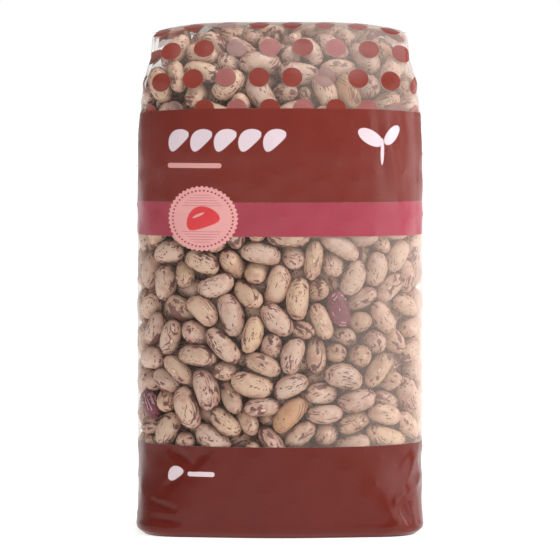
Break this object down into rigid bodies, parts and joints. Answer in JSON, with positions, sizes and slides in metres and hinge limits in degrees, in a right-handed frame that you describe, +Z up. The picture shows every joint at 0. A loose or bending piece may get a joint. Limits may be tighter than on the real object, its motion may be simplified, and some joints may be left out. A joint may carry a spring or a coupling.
{
  "type": "bag of dried beans",
  "caption": "Sealed clear film bag of dried speckled beans, printed in plain bands and dots, with side gussets, a folded top seal and a flat base.",
  "frame": {"origin": "middle of the flat base, on the surface that the bag stands on", "axes": "+Z up to the folded top seal, the printed front panel faces -Y, the side gussets face +X and -X"},
  "size_m": [0.1148, 0.0756, 0.2015],
  "materials": {
    "printed_film": "satin",
    "clear_film": "gloss",
    "beans": "satin"
  },
  "bodies": {
    "root": {"bean_bag": "printed_film"}
  },
  "joints": []
}
